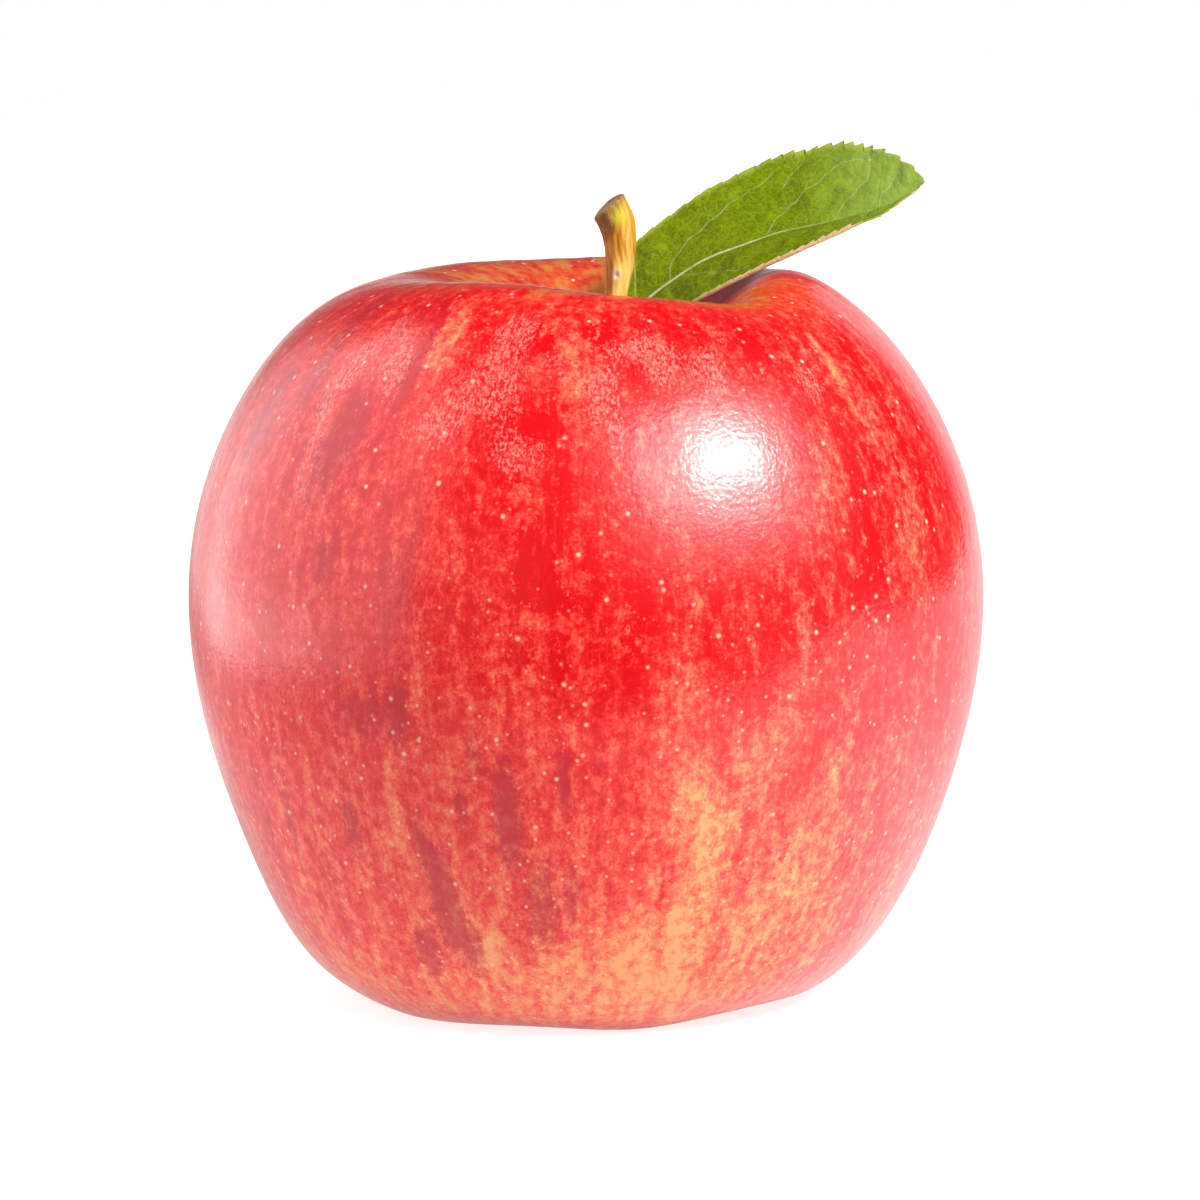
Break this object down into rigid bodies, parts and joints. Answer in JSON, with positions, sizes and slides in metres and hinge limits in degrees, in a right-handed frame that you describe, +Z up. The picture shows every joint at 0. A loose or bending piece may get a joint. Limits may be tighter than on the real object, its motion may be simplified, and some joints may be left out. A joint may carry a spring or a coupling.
{
  "type": "red apple",
  "caption": "Whole ripe dessert apple with its stem and a green leaf, standing upright on the lobes around its dried flower end.",
  "frame": {"origin": "on the ground, under the middle of the fruit", "axes": "+Z up along the core, from the dried flower end to the stem; the leaf points to +X; the best side faces -Y"},
  "size_m": [0.0804, 0.0804, 0.086],
  "materials": {
    "fruit_skin": "waxy, with a soft gloss, over red blushed and streaked flesh-yellow skin with pale dots",
    "stem_bark": "thin, smooth, ridged bark in yellow and brown",
    "leaf_blade": "satin leaf with paler veins and a downy underside",
    "dried_sepal": "dry, brittle and matt",
    "dried_stamen": "dry, dark and matt"
  },
  "bodies": {
    "root": {"fruit": "fruit_skin", "stem": "stem_bark", "leaf": "leaf_blade", "sepal_1": "dried_sepal", "sepal_2": "dried_sepal", "sepal_3": "dried_sepal", "sepal_4": "dried_sepal", "sepal_5": "dried_sepal", "dried_stamens": "dried_stamen"}
  },
  "joints": []
}
